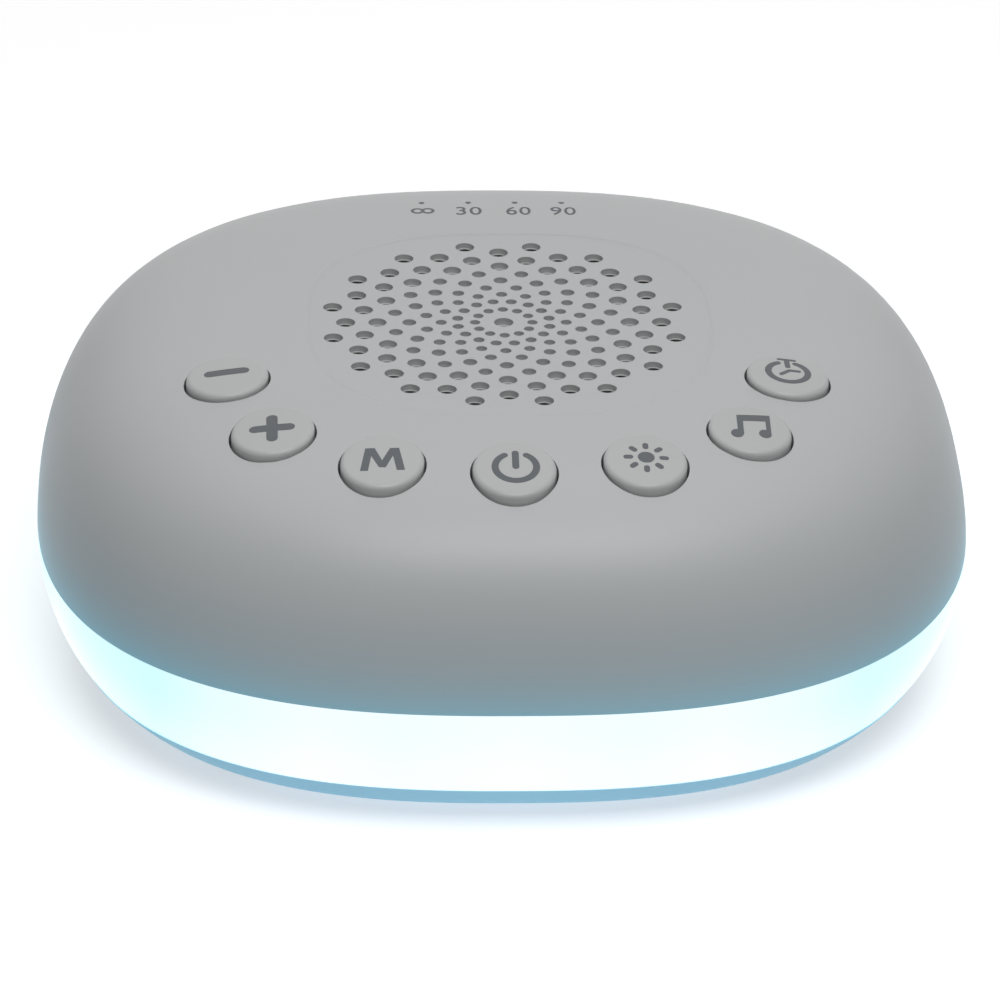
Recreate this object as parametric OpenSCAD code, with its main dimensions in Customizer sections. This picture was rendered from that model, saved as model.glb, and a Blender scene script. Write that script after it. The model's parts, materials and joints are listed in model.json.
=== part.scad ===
// Tabletop sound machine: a domed housing with a speaker grille and seven keys,
// a glowing band round its foot, and a base that closes it.
// Millimetres. X is the width, the front faces -Y, and the table is at Z = 0.

/* [Body] */
// Width of the housing at its widest line
body_w = 120; // [112:1:150]
// Depth of the housing at its widest line
body_d = 114; // [108:1:145]
// Exponent of the rounded-square outline, where 2 is an ellipse
squareness = 2.54; // [2.3:0.02:3.2]
// Wall of the shell, the band and the base
wall = 2; // [1.6:0.1:2.6]

/* [Heights] */
// How far the feet stand out below the base
foot_stand = 1.6; // [1:0.1:3]
// Height of the base's side
base_h = 4; // [3.6:0.2:7]
// Height of the glowing band
band_h = 13; // [11:0.5:18]
// Height of the dome above the band
dome_h = 25.6; // [24:0.2:34]
// Radius that the band and the base curve in by, seen in section
belly_r = 22; // [20:0.5:60]

/* [Dome] */
// Exponent that flattens the top of the dome
dome_flat = 7; // [4:0.1:10]
// Exponent that rounds the shoulder into the side
dome_round = 1.66; // [1.3:0.02:2.4]
// Width of the flat panel round the grille
panel_w = 53; // [50:0.5:60]
// Depth that the panel is set below the dome
panel_dip = 0.25; // [0.1:0.05:0.5]

/* [Grille] */
// Distance between alternate rings of holes
ring_pitch = 4.08; // [3.8:0.02:4.4]
// Radius of the outermost ring
grille_r = 22.3; // [21:0.1:23]
// Radius of the ring round the centre hole
inner_ring_r = 3.68; // [3.4:0.02:4]
// Diameter of the centre hole
centre_hole_d = 2.5; // [2:0.1:3]
// Diameter of the smallest holes
small_hole_d = 1.33; // [1.2:0.01:1.5]
// Diameter of the largest holes
large_hole_d = 2.46; // [2:0.02:2.8]
// Thickness of the shell round the holes
grille_t = 1.1; // [0.9:0.1:1.5]

/* [Keys] */
// Diameter of a key
key_d = 10.4; // [9:0.1:11.6]
// Gap round a key in its hole
key_gap = 0.3; // [0.25:0.05:0.5]
// How far the middle of a key stands above the dome
key_proud = 0.9; // [0.6:0.05:1.6]
// How far a key travels
key_travel = 0.6; // [0.4:0.1:0.8]
// Width of the curve that the keys stand on
key_row_w = 70.9; // [69:0.1:78]
// Depth of the curve that the keys stand on
key_row_d = 52.7; // [51:0.1:57]
// Distance of the curve's middle in front of the grille's
key_row_y = 13; // [12:0.1:15]
// Angle from the front key to the next
first_key_angle = 33.6; // [32:0.1:36]
// Angle from the front key to the second
second_key_angle = 60.8; // [59:0.1:63]
// Angle from the front key to the last
last_key_angle = 85.9; // [84:0.1:92]

/* [Timer lights] */
// Distance between two timer lights
light_pitch = 6.2; // [5:0.1:7]
// Distance of the timer lights behind the middle of the grille
light_y = 36.2; // [35:0.1:38]
// Diameter of a timer light's hole
light_d = 0.8; // [0.6:0.1:1.2]

/* [Speaker] */
// Diameter of the speaker's rim
speaker_d = 52; // [50:0.5:54]
// Depth of the speaker's basket, from its rim to the steel plate
basket_h = 11.6; // [11:0.2:12.4]
// Diameter of the magnet
magnet_d = 32; // [28:0.5:36]
// Thickness of the magnet
magnet_t = 5; // [4:0.2:6]
// Diameter of the voice coil's tube
coil_d = 12.6; // [12:0.1:13]
// How far the cone moves each way
cone_travel = 0.5; // [0.2:0.1:0.6]

/* [Inside] */
// Height of the control board's top above the table
board_z = 29.8; // [29.4:0.1:30.2]
// Thickness of the circuit boards
board_t = 1.6; // [1.2:0.1:1.8]
// Length of the battery
battery_l = 52; // [40:1:56]
// Width of the battery
battery_w = 36; // [30:1:40]
// Thickness of the battery
battery_t = 8; // [6:0.5:9]
// Number of lamps behind the glowing band
lamp_count = 24; // [12:4:36]

/* [Fastening] */
// Distance of the housing screws from the side of the outline
post_inset_x = 20; // [19:0.5:22]
// Distance of the housing screws from the front and back of the outline
post_inset_y = 29.5; // [28:0.5:31]
// Shank diameter of the housing screws
post_screw_d = 2.9; // [2.5:0.1:3.1]
// Shank diameter of the board and speaker screws
small_screw_d = 2.3; // [2:0.1:2.5]
// Diameter of a foot
foot_d = 10; // [8:0.5:11]
// Distance of the feet from the side of the outline
foot_inset_x = 29; // [27:0.5:32]
// Distance of the feet from the front and back of the outline
foot_inset_y = 23.5; // [22:0.5:27]

/* [Hidden] */

$fn = 64;
columns = 96; // facets round the outline
cut = 0.5; // overlap that keeps a cut or a join clean

half_w = body_w / 2;
half_d = body_d / 2;
base_z = foot_stand;
band_z = base_z + base_h;
seam_z = band_z + band_h;
top_z = seam_z + dome_h;
panel_z = top_z - panel_dip;
panel_share = panel_w / body_w;
panel_ramp = 1.2; // width of the slope round the panel
wall_share = wall / half_w;
lip_gap = 0.3; // clearance of the lips that centre one moulding in the next
lip_t = 1.2;
lip_h = 1.8;

// Distance from the middle to a rounded square of half sizes hw and hd, in direction a
function rounded_r(a, hw, hd, n) = pow(pow(abs(cos(a)) / hw, n) + pow(abs(sin(a)) / hd, n), -1 / n);
function outline(share) = [for (i = [0:columns - 1]) let (a = i * 360 / columns)
    share * rounded_r(a, half_w, half_d, squareness) * [cos(a), sin(a)]];
// How far out a point lies, as a share of the widest outline
function share_at(x, y) =
    pow(pow(abs(x) / half_w, squareness) + pow(abs(y) / half_d, squareness), 1 / squareness);

// The dome's section: its height at a share of the outline, and the share at a height
function dome_z(share) = top_z - dome_h * (1 - pow(1 - pow(share, dome_flat), 1 / dome_round));
function dome_share(z) = pow(1 - pow(1 - (top_z - z) / dome_h, dome_round), 1 / dome_flat);
// The belly's section: the share of the outline at a height below the seam
function belly_share(z) = 1 - (belly_r - sqrt(pow(belly_r, 2) - pow(seam_z - z, 2))) / half_w;

// Skins a path of [share of the outline, height] round the rounded square.
// An open path is closed by a flat face at each end, the first facing up and the last down.
module loft(path, ring = false) {
    rows = len(path);
    points = [for (p = path, q = outline(p[0])) [q[0], q[1], p[1]]];
    sides = [for (r = [0:rows - (ring ? 1 : 2)], i = [0:columns - 1])
        let (j = (i + 1) % columns, a = r * columns, b = (r + 1) % rows * columns)
        [a + i, a + j, b + j, b + i]];
    ends = ring ? [] : [
        [for (i = [columns - 1:-1:0]) i],
        [for (i = [0:columns - 1]) (rows - 1) * columns + i]];
    polyhedron(points, concat(sides, ends), convexity = 8);
}

// A flat ring between two shares of the outline
module flat_ring(outer, inner) {
    difference() {
        polygon(outline(outer));
        polygon(outline(inner));
    }
}

module tube(outer_d, inner_d, h) {
    linear_extrude(h) difference() {
        circle(d = outer_d);
        circle(d = inner_d);
    }
}

// A bar with round ends, lying along X and extruded up
module stadium(length, width) {
    square([length - width, width], center = true);
    for (side = [-1, 1]) translate([side * (length - width) / 2, 0]) circle(d = width);
}

// Repeats a shape in the four corners, mirrored so that it always faces outwards
module mirrored_four(x, y) {
    for (mx = [0, 1], my = [0, 1]) mirror([mx, 0, 0]) mirror([0, my, 0]) translate([x, y, 0]) children();
}

// A pan-head screw standing on its head, its head's underside at Z = 0
module screw(shank_d, length, head_d, head_h) {
    slot_w = 0.8;
    difference() {
        union() {
            cylinder(d = shank_d, h = length);
            rotate_extrude() intersection() {
                translate([0, -head_h]) square([head_d / 2, head_h]);
                translate([0, head_d * 0.6 - head_h]) circle(head_d * 0.6);
            }
        }
        for (turn = [0, 90]) rotate(turn) translate([0, 0, -head_h])
            cube([head_d * 0.55, slot_w, head_h], center = true);
    }
}

// ---- Domed shell ----
inner_share = 1 - wall_share;
ceiling_z = panel_z - wall;
dome_rows = 16;
inner_rows = 9;
outer_start = 6; // quarter-turn angles at which the three skins of the dome leave the panel
inner_start = 10;
core_start = 12;
// A point of the dome's section, drawn in by a wall's depth and raised from the seam, on a quarter turn
function dome_point(turn, depth) = [
    (1 - depth / half_w) * pow(sin(turn), 2 / dome_flat),
    seam_z + (dome_h - depth) * pow(cos(turn), 2 / dome_round)];
function dome_path(rows, depth, start) = [for (i = [0:rows])
    dome_point(start + (90 - start) * pow(i / rows, 1.25), depth)];

post_x = half_w - post_inset_x;
post_y = half_d - post_inset_y;
post_d = 7;
post_foot_z = 9;
pilot_gap = 0.1; // room across a screw in its pilot hole
post_hole_d = post_screw_d + pilot_gap;
post_hole_h = 12;

board_post_d = 6;
board_side_x = half_w - 19;
board_side_y = 3;
board_rear_x = 20;
board_rear_y = half_d - 19.5;
board_front_x = 8.2;
board_front_y = -30.5;
board_posts = [for (s = [-1, 1], p = [[board_side_x, board_side_y], [board_rear_x, board_rear_y],
    [board_front_x, board_front_y]]) [s * p[0], p[1]]];
small_hole_pilot_d = small_screw_d + pilot_gap;

speaker_seat_h = 3; // height of the ring that the speaker is screwed against
speaker_seat_z = ceiling_z - speaker_seat_h;
speaker_seat_t = 1.8;
pocket_z = panel_z - grille_t; // the shell is thinned round the holes
pocket_d = speaker_d - 2 * speaker_seat_t - 0.4;
pocket_flat_r = pocket_d * 0.28; // the underside is flat inside this and rises outside it
pocket_rise = 0.26; // how much thinner the shell is at the pocket's rim
gasket_t = 1.2;
rim_z = speaker_seat_z - gasket_t; // front of the speaker's rim
ear_r = speaker_d / 2 + 2.4;
ear_post_d = 6;

key_hole_d = key_d + 2 * key_gap;
collar_t = 1.2;
collar_z = top_z - 7.5;
// Places of the keys, from the left end of the row to the right
key_angles = [-last_key_angle, -second_key_angle, -first_key_angle, 0,
    first_key_angle, second_key_angle, last_key_angle];
key_row_square = 2.34; // exponent of the curve that the keys stand on
function key_place(i) = let (a = key_angles[i] - 90)
    rounded_r(a, key_row_w / 2, key_row_d / 2, key_row_square) * [cos(a), sin(a)] - [0, key_row_y];

light_shift = 0.4; // the row of timer lights sits this far left of the middle
light_xs = [for (i = [0:3]) (i - 1.5) * light_pitch - light_shift];
guide_d = 2;
guide_gap = 0.1;
light_skin = 0.8; // plastic left over a timer light

usb_w = 8.94;
usb_h = 3.26;
usb_l = 7.3;
usb_shell_t = 0.3;
usb_z = board_z - board_t - usb_h / 2;
usb_gap = 0.32;
usb_mouth_y = half_d * dome_share(usb_z + usb_h / 2) - 0.3;

module dome_core() {
    depth = wall / 2;
    loft(concat(
        [[panel_share, panel_z - depth]],
        dome_path(6, depth, core_start),
        [[1 - depth / half_w, post_foot_z]]));
}

module grille_holes() {
    rings = 10;
    ring_count = 16;
    hole_draft = 4; // how much each side of a hole leans, so that the moulding leaves its pins
    hole_cut_h = wall + 2 * cut;
    module hole_ring(radius, count, d, phase) {
        narrowing = 2 * hole_cut_h * tan(hole_draft);
        for (i = [0:count - 1]) rotate(phase + i * 360 / count) translate([radius, 0, ceiling_z - cut])
            cylinder(d1 = d - narrowing, d2 = d + 2 * cut * tan(hole_draft), h = hole_cut_h, $fn = 24);
    }
    hole_ring(0, 1, centre_hole_d, 0);
    hole_ring(inner_ring_r, 12, small_hole_d, 0);
    spread = [0, 0.1, 0.1, 0.2, 0.42, 0.42, 0.9, 0.9, 1, 1]; // how far the size has grown on each ring
    for (r = [2:rings]) {
        radius = grille_r - (rings - r) * ring_pitch / 2;
        d = small_hole_d + spread[r - 1] * (large_hole_d - small_hole_d);
        hole_ring(radius, ring_count, d, r % 2 == 0 ? 180 / ring_count : 0);
    }
}

module shell_inside() {
    rib_t = 1.2;
    tall = top_z - post_foot_z;
    mirrored_four(post_x, post_y) translate([0, 0, post_foot_z]) cylinder(d = post_d, h = tall);
    mirrored_four(post_x, post_y) rotate(atan2(post_y, post_x))
        translate([0, -rib_t / 2, board_z + 1]) cube([half_w, rib_t, tall]);
    for (p = board_posts) translate([p[0], p[1], board_z]) cylinder(d = board_post_d, h = tall);
    for (i = [0:6]) translate([key_place(i)[0], key_place(i)[1], collar_z])
        cylinder(d = key_hole_d + 2 * collar_t, h = tall);
    for (q = [45:90:315]) rotate(q) translate([ear_r, 0, rim_z]) cylinder(d = ear_post_d, h = tall);
}

module top_shell() {
    ramp_share = panel_share + panel_ramp / half_w;
    color([0.7, 0.7, 0.69]) difference() {
        union() {
            loft(concat(
                [[panel_share, panel_z], [ramp_share, dome_z(ramp_share)]],
                dome_path(dome_rows, 0, outer_start),
                [for (i = [inner_rows:-1:0]) dome_path(inner_rows, wall, inner_start)[i]],
                [[panel_share, ceiling_z]]));
            intersection() {
                shell_inside();
                dome_core();
            }
            translate([0, 0, speaker_seat_z])
                tube(speaker_d, speaker_d - 2 * speaker_seat_t, speaker_seat_h + cut);
        }
        grille_holes();
        rotate_extrude() polygon([[0, ceiling_z - cut], [pocket_d / 2, ceiling_z - cut],
            [pocket_d / 2, pocket_z + pocket_rise], [pocket_flat_r, pocket_z], [0, pocket_z]]);
        for (i = [0:6]) translate([key_place(i)[0], key_place(i)[1], board_z])
            cylinder(d = key_hole_d, h = dome_h);
        for (x = light_xs) translate([x, light_y, board_z]) {
            cylinder(d = light_d, h = dome_h, $fn = 24);
            cylinder(d = guide_d + 2 * guide_gap, h = dome_z(share_at(x, light_y)) - light_skin - board_z);
        }
        mirrored_four(post_x, post_y) translate([0, 0, post_foot_z - cut])
            cylinder(d = post_hole_d, h = post_hole_h + cut);
        for (p = board_posts) translate([p[0], p[1], board_z - cut])
            cylinder(d = small_hole_pilot_d, h = 6 + cut);
        for (q = [45:90:315]) rotate(q) translate([ear_r, 0, rim_z - cut])
            cylinder(d = small_hole_pilot_d, h = 4 + cut);
        translate([0, half_d - wall * 3, usb_z]) rotate([-90, 0, 0])
            linear_extrude(wall * 4) stadium(usb_w + 2 * usb_gap, usb_h + 2 * usb_gap);
    }
}

// ---- Glowing band and base ----
lip_out = inner_share - lip_gap / half_w;
lip_in = lip_out - lip_t / half_w;
base_lip_out = belly_share(band_z) - wall_share - lip_gap / half_w;
base_lip_in = base_lip_out - lip_t / half_w;
belly_rows = 6;
base_rows = 3;
lamp_board_z = band_z + lip_h;

module light_band() {
    lip_root_z = seam_z - 2.6;
    function level(i) = seam_z - i * band_h / belly_rows;
    color([0.9, 0.98, 1]) loft(concat(
        [for (i = [0:belly_rows]) [belly_share(level(i)), level(i)]],
        [for (i = [belly_rows:-2:2]) [belly_share(level(i)) - wall_share, level(i)]],
        [[belly_share(lip_root_z) - wall_share, lip_root_z], [lip_in, seam_z - 1], [lip_in, seam_z + lip_h],
            [lip_out, seam_z + lip_h], [lip_out, seam_z]]), ring = true);
}

floor_z = base_z + wall;
foot_x = half_w - foot_inset_x;
foot_y = half_d - foot_inset_y;
foot_recess = 0.6;
foot_gap = 0.2;
post_head_d = 5;
post_head_h = 2;
post_head_z = 5; // where the housing screws' heads bear
base_post_d = 7.8;
screw_gap = 0.5; // room across a screw in a plain hole

module base() {
    floor_share = base_lip_in - 0.035;
    fence_t = 1.2;
    fence_h = 3;
    fence_l = 8;
    fence_gap = 0.3;
    base_step = 0.15; // how far the base's upper edge stands out from under the band
    function level(i) = band_z - i * (base_h - 0.4) / base_rows;
    color([0.68, 0.71, 0.73]) difference() {
        union() {
            loft(concat(
                [[floor_share, floor_z], [base_lip_in, floor_z + 1.2], [base_lip_in, lamp_board_z],
                    [base_lip_out, lamp_board_z], [base_lip_out, band_z]],
                [for (i = [0:base_rows]) [belly_share(level(i)) + base_step / half_w, level(i)]],
                [[belly_share(base_z) - 0.01, base_z]]));
            mirrored_four(post_x, post_y) translate([0, 0, floor_z - cut])
                cylinder(d = base_post_d, h = post_foot_z - floor_z + cut);
            // fence that keeps the battery in place
            mirrored_four(battery_l / 2 + fence_gap, battery_w / 2 + fence_gap)
                translate([0, 0, floor_z - cut]) linear_extrude(fence_h + cut) {
                    translate([-fence_l, 0]) square([fence_l + fence_t, fence_t]);
                    translate([0, -fence_l]) square([fence_t, fence_l + fence_t]);
                }
        }
        mirrored_four(post_x, post_y) {
            translate([0, 0, base_z - cut])
                cylinder(d = post_head_d + screw_gap, h = post_head_z - base_z + cut);
            cylinder(d = post_screw_d + screw_gap, h = post_foot_z + cut);
        }
        mirrored_four(foot_x, foot_y) translate([0, 0, base_z - cut])
            cylinder(d = foot_d + 2 * foot_gap, h = foot_recess + cut);
    }
}

module rubber_feet() {
    edge = 0.5;
    color([0.2, 0.2, 0.21]) mirrored_four(foot_x, foot_y) rotate_extrude() polygon([
        [0, 0], [foot_d / 2 - edge, 0], [foot_d / 2, edge], [foot_d / 2, foot_stand + foot_recess],
        [0, foot_stand + foot_recess]]);
}

module base_screws() {
    color([0.6, 0.6, 0.62]) mirrored_four(post_x, post_y) translate([0, 0, post_head_z])
        screw(post_screw_d, 14, post_head_d, post_head_h);
}

// ---- Keys ----
slope_step = 0.05; // half the distance over which the dome's slope is taken
key_edge_r = 0.5;
key_bulge = 0.2; // how far a key's face rises from its rim to its middle
flange_t = 1;
flange_z = collar_z - 0.15 - flange_t; // the flange waits just below its collar
flange_d = key_hole_d + 1;
key_wall = 1.2;
stem_d = 4.4;
switch_h = 3.5;
plunger_d = 3.5;
plunger_l = 2.8;
plunger_top_z = board_z + switch_h + 1.5;
function slope_at(x, y, dx, dy) = (dome_z(share_at(x + dx, y + dy)) - dome_z(share_at(x - dx, y - dy)))
    / (2 * slope_step);

module key(i) {
    $fn = 128;
    x = key_place(i)[0];
    y = key_place(i)[1];
    lean_x = atan(slope_at(x, y, slope_step, 0)); // the face follows the dome
    lean_y = atan(slope_at(x, y, 0, slope_step));
    face_z = dome_z(share_at(x, y)) + key_proud;
    face_r = key_d / 2 + 0.12;
    bulge_r = pow(face_r, 2) / (2 * key_bulge) + key_bulge / 2;
    rim_x = face_r - key_edge_r;
    rim_drop = bulge_r - sqrt(pow(bulge_r - key_edge_r, 2) - pow(rim_x, 2));
    drop = key_d / 2 * sin(norm([lean_x, lean_y])); // how far the low edge lies below the middle
    hollow_z = face_z - drop - 1.4;
    translate([x, y, 0]) difference() {
        union() {
            intersection() {
                translate([0, 0, flange_z]) cylinder(d = key_d, h = face_z + key_d / 2 - flange_z);
                // a leaning disc, bulging a little and with a rounded rim, shapes the top
                translate([0, 0, face_z]) rotate([lean_y, -lean_x, 0]) rotate_extrude() {
                    intersection() {
                        translate([0, -bulge_r]) circle(bulge_r);
                        translate([0, -key_d]) square([rim_x * bulge_r / (bulge_r - key_edge_r), key_d]);
                    }
                    translate([rim_x, -rim_drop]) circle(key_edge_r);
                    translate([0, -key_d]) square([key_d, key_d - rim_drop]);
                }
            }
            translate([0, 0, flange_z]) cylinder(d = flange_d, h = flange_t);
        }
        translate([0, 0, flange_z - cut]) tube(key_d - 2 * key_wall, stem_d, hollow_z - flange_z + cut);
    }
    translate([x, y, plunger_top_z]) cylinder(d = stem_d, h = flange_z - plunger_top_z + cut);
}

module key_tinted(i) {
    color([0.78, 0.78, 0.76]) key(i);
}

module plunger(i) {
    color([0.15, 0.15, 0.16]) translate([key_place(i)[0], key_place(i)[1], plunger_top_z - plunger_l])
        cylinder(d = plunger_d, h = plunger_l);
}

module volume_down_key() { key_tinted(0); }
module volume_up_key() { key_tinted(1); }
module mode_key() { key_tinted(2); }
module power_key() { key_tinted(3); }
module light_key() { key_tinted(4); }
module sound_key() { key_tinted(5); }
module timer_key() { key_tinted(6); }
module volume_down_plunger() { plunger(0); }
module volume_up_plunger() { plunger(1); }
module mode_plunger() { plunger(2); }
module power_plunger() { plunger(3); }
module light_plunger() { plunger(4); }
module sound_plunger() { plunger(5); }
module timer_plunger() { plunger(6); }

module key_switches() {
    side = 6;
    leg = 0.7;
    leg_y = 2.25;
    module switch_body() {
        difference() {
            union() {
                translate([-side / 2, -side / 2, 0]) cube([side, side, switch_h]);
                mirrored_four(side / 2, leg_y) translate([0, -leg / 2, 0]) cube([leg, leg, 2 * leg]);
            }
            translate([0, 0, 1.2]) cylinder(d = plunger_d + 0.6, h = switch_h);
        }
    }
    color([0.25, 0.25, 0.27]) for (i = [0:6]) translate([key_place(i)[0], key_place(i)[1], board_z])
        switch_body();
}

// ---- Control board ----
board_hole_d = speaker_d;
board_share = dome_share(board_z) - (wall + 3.2) / half_w;
board_under_z = board_z - board_t;
tab_w = 15;

module control_board() {
    tab_y = half_d * dome_share(board_z) - wall - 0.6;
    color([0.1, 0.35, 0.2]) translate([0, 0, board_under_z]) linear_extrude(board_t) difference() {
        union() {
            polygon(outline(board_share));
            translate([-tab_w / 2, 0]) square([tab_w, tab_y]);
        }
        circle(d = board_hole_d);
        for (sx = [-1, 1], sy = [-1, 1]) translate([sx * post_x, sy * post_y]) circle(d = post_d + 0.8);
        for (p = board_posts) translate(p) circle(d = small_screw_d + screw_gap);
    }
}

module board_screws() {
    color([0.6, 0.6, 0.62]) for (p = board_posts) translate([p[0], p[1], board_under_z])
        screw(small_screw_d, 6, 4.4, 1.5);
}

lamp_plug = [-12, 36];
speaker_plug = [31, -25];
plug_h = 6;
plug_z = board_under_z - plug_h; // underside of the plugs

// The chips, cans and plugs on the underside of the control board
module board_parts() {
    chip_x = half_w - 27;
    module chip(x, y, length, width, h) {
        translate([x - length / 2, y - width / 2, board_under_z - h]) cube([length, width, h]);
    }
    color([0.12, 0.12, 0.13]) {
        chip(-chip_x, -12, 9, 7, 1.6);
        chip(chip_x, -12, 5, 6, 1.6);
        chip(-chip_x, 14, 6, 5, 1.6);
        for (y = [10, 18]) translate([chip_x + 1, y, board_under_z - 7]) cylinder(d = 6.3, h = 7);
        for (p = [lamp_plug, speaker_plug, [-speaker_plug[0], speaker_plug[1]]])
            chip(p[0], p[1], 7.5, 5.8, plug_h);
    }
}

module timer_lamps() {
    color([0.95, 0.95, 0.85]) for (x = light_xs) translate([x - 0.8, light_y - 0.4, board_z])
        cube([1.6, 0.8, 0.7]);
}

// A comb of four light pipes on a bar that stands on the board
module light_guide() {
    bar_z = 35;
    bar_l = 3 * light_pitch + 7;
    pipe_z = board_z + 1;
    color([0.92, 0.95, 0.97]) {
        difference() {
            translate([-bar_l / 2, light_y - 2, bar_z]) cube([bar_l, 4, 1.4]);
            for (x = light_xs) translate([x, light_y, bar_z - cut]) cylinder(d = guide_d, h = 1.4 + 2 * cut);
        }
        for (x = light_xs) translate([x, light_y, 0]) {
            translate([0, 0, pipe_z])
                cylinder(d = guide_d, h = dome_z(share_at(x, light_y)) - light_skin - guide_gap - pipe_z);
            translate([0, 0, pipe_z]) cylinder(d = light_d - 0.1, $fn = 24,
                h = dome_z(share_at(x, light_y)) - 0.25 - pipe_z);
        }
        for (side = [-1, 1]) translate([side * (bar_l / 2 - 1) - 1, light_y - 2, board_z])
            cube([2, 4, bar_z - board_z + cut]);
    }
}

module usb_socket() {
    color([0.75, 0.75, 0.77]) translate([0, usb_mouth_y - usb_l, usb_z]) rotate([-90, 0, 0]) {
        linear_extrude(usb_l) difference() {
            stadium(usb_w, usb_h);
            stadium(usb_w - 2 * usb_shell_t, usb_h - 2 * usb_shell_t);
        }
        linear_extrude(usb_shell_t) stadium(usb_w - usb_shell_t, usb_h - usb_shell_t);
    }
}

module usb_tongue() {
    tongue = [6.7, 5.6, 0.7];
    color([0.12, 0.12, 0.13])
        translate([-tongue[0] / 2, usb_mouth_y - usb_l + usb_shell_t, usb_z - tongue[2] / 2]) cube(tongue);
}

// ---- Speaker ----
cloth_t = 0.3;
rim_t = 1.2;
plate_z = rim_z - basket_h; // front of the steel plate
plate_t = 2;
yoke_t = 2;
gap_r = 0.3; // air gap each side of the voice coil
coil_r = coil_d / 2;
winding_t = 0.25;
spider_z = plate_z + 2.2; // shelf that the spider is glued to
basket_foot_r = magnet_d / 2 - 1.2;
ear_d = 6.4;
surround_r = speaker_d / 2 - 2.6;
cone_r = surround_r - 4.2;
speaker_plug_turn = atan2(speaker_plug[1], speaker_plug[0]);
tag_r = (basket_foot_r + surround_r) / 2;
tag_z = spider_z + 0.6;
// Height of the middle of the basket's sloping wall at radius r
function basket_z(r) = spider_z + 1.2 + (rim_z - 3.4 - spider_z) * (r - basket_foot_r - 0.6)
    / (surround_r - basket_foot_r - 1.2);

module grille_cloth() {
    flat_r = pocket_flat_r + 1; // a little wider than the flat of the shell, so that the rest lies clear
    edge_r = pocket_d / 2 - 0.15;
    edge_z = pocket_rise * (edge_r - flat_r) / (pocket_d / 2 - pocket_flat_r);
    color([0.06, 0.06, 0.06]) translate([0, 0, pocket_z]) rotate_extrude() polygon([
        [0, -cloth_t], [flat_r, -cloth_t], [edge_r, edge_z - cloth_t],
        [edge_r, edge_z], [flat_r, 0], [0, 0]]);
}

module speaker_gasket() {
    color([0.15, 0.15, 0.15]) translate([0, 0, rim_z])
        tube(2 * (ear_r - ear_post_d / 2) - 0.4, 2 * surround_r + 0.2, gasket_t);
}

module speaker_frame() {
    shelf_w = 6;
    shelf_foot_z = max(basket_z(tag_r - 2), tag_z + 0.3); // its inner end, in the basket's wall
    basket_t = 0.9;
    wall_in_r = surround_r - 0.6 - basket_t;
    shoulder_z = rim_z - 2.2;
    throat_r = cone_r + 2.3;
    color([0.25, 0.25, 0.26]) difference() {
        union() {
            rotate_extrude() polygon([
                [coil_r + 2, plate_z], [basket_foot_r, plate_z], [basket_foot_r + 0.6, spider_z + 0.8],
                [surround_r - 0.6, shoulder_z], [surround_r - 0.2, rim_z - rim_t],
                [speaker_d / 2, rim_z - rim_t], [speaker_d / 2, rim_z],
                [throat_r, rim_z], [throat_r, rim_z - rim_t], [wall_in_r, shoulder_z],
                [basket_foot_r - 0.3, spider_z + 1], [basket_foot_r - 0.3, spider_z],
                [basket_foot_r - 1.6, spider_z], [basket_foot_r - 1.6, plate_z + basket_t],
                [coil_r + 2, plate_z + basket_t]]);
            for (q = [45:90:315]) rotate(q) translate([0, 0, rim_z - rim_t]) linear_extrude(rim_t) {
                translate([ear_r, 0]) circle(d = ear_d);
                translate([speaker_d / 2 - 2, -ear_d / 2]) square([ear_r - speaker_d / 2 + 2, ear_d]);
            }
            // shelf that the speaker's leads are soldered to
            rotate(speaker_plug_turn) translate([0, shelf_w / 2, 0]) rotate([90, 0, 0])
                linear_extrude(shelf_w) polygon([[tag_r - 2, tag_z], [tag_r + 2, tag_z],
                    [tag_r + 2, basket_z(tag_r + 2)], [tag_r - 2, shelf_foot_z]]);
        }
        for (q = [45:90:315]) rotate(q) translate([ear_r, 0, rim_z - rim_t - cut])
            cylinder(d = small_screw_d + screw_gap, h = rim_t + 2 * cut);
        // windows of the basket
        for (q = [0:60:300]) rotate(q) translate([basket_foot_r + 1.6, -4, spider_z + 1.4])
            cube([surround_r, 8, rim_z - rim_t - spider_z - 2.4]);
    }
}

// Twin leads between two points on plugs and parts, which leave each point upright and cross level at run_z
module leads(from, to, run_z) {
    lead_d = 1.1;
    bend_r = 1.8;
    way = [to[0] - from[0], to[1] - from[1]];
    level = round(norm(way) * 100) / 100;
    up_1 = from[2] > run_z ? 1 : -1;
    up_2 = to[2] > run_z ? 1 : -1;
    // a quarter bend that comes in along a and leaves along b
    module bend(corner, a, b) {
        middle = corner - bend_r * a + bend_r * b;
        out = cross(a, b);
        multmatrix([[-b[0], a[0], out[0], middle[0]], [-b[1], a[1], out[1], middle[1]],
            [-b[2], a[2], out[2], middle[2]]])
            rotate_extrude(angle = 90) translate([bend_r, 0]) circle(d = lead_d);
    }
    module upright(x, z, up) {
        translate([x, 0, up > 0 ? run_z + bend_r : z]) cylinder(d = lead_d, h = abs(z - run_z) - bend_r);
    }
    translate([from[0], from[1], 0]) rotate(atan2(way[1], way[0]))
        for (y = [-0.8, 0.8]) translate([0, y, 0]) {
            upright(0, from[2], up_1);
            bend([0, 0, run_z], [0, 0, -up_1], [1, 0, 0]);
            translate([bend_r, 0, run_z]) rotate([0, 90, 0])
                cylinder(d = lead_d, h = level - 2 * bend_r);
            bend([level, 0, run_z], [1, 0, 0], [0, 0, up_2]);
            upright(level, to[2], up_2);
        }
}

module speaker_leads() {
    color([0.6, 0.1, 0.1]) leads([speaker_plug[0], speaker_plug[1], plug_z],
        [tag_r * cos(speaker_plug_turn), tag_r * sin(speaker_plug_turn), tag_z], 19.4);
}

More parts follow.
